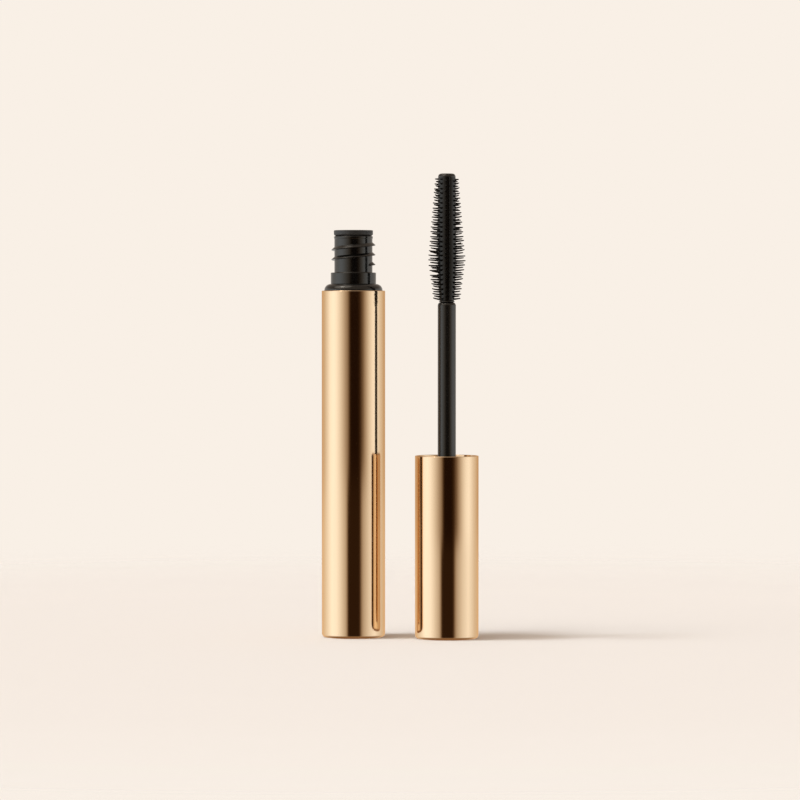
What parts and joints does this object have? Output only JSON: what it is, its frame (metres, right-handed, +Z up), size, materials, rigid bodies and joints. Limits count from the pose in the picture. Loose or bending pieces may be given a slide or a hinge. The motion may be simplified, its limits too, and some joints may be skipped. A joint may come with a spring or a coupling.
{
  "type": "mascara tube",
  "caption": "Round gold mascara, opened: tube with threaded black neck and wiper standing beside its cap, whose wand carries a moulded bristle brush.",
  "frame": {"origin": "On the table, midway between the axis of the standing tube and the axis of the cap, which stands on its closed end.", "axes": "+Z up along both axes; +X from the tube to the cap; +Y away from the viewer."},
  "size_m": [0.04, 0.016, 0.1166],
  "materials": {
    "gold_shell": "polished, gold anodised",
    "label_film": "satin film, blank",
    "black_gloss": "glossy moulded",
    "black_satin": "semi-gloss moulded",
    "black_matte": "matte soft polyethylene",
    "paste": "wet black paste",
    "bristle_elastomer": "satin moulded elastomer"
  },
  "bodies": {
    "cap_and_wand": {"cap_shell": "gold_shell", "cap_liner": "black_gloss", "cap_seal": "black_matte", "wand_rod": "black_satin", "brush_core": "black_satin", "bristles": "bristle_elastomer"},
    "scraped_paste": {"formula_bead": "paste"},
    "wiper_insert": {"wiper": "black_matte"},
    "tube": {"tube_shell": "gold_shell", "base_label": "label_film", "bottle": "black_gloss", "formula_fill": "paste"}
  },
  "joints": [
    {"name": "turn_over", "type": "hinge", "parent": "cap_and_wand", "child": "scraped_paste", "pos_m": [0, 0, 0.113], "axis": [0, 1, 0], "range_deg": [0, 180]},
    {"name": "wand_stroke", "type": "slide", "parent": "scraped_paste", "child": "wiper_insert", "axis": [0, 0, 1], "range_m": [0, 0.0926]},
    {"name": "cap_turn", "type": "hinge", "parent": "wiper_insert", "child": "tube", "pos_m": [-0.012, 0, 0], "axis": [0, 0, -1], "range_deg": [0, 720]}
  ]
}
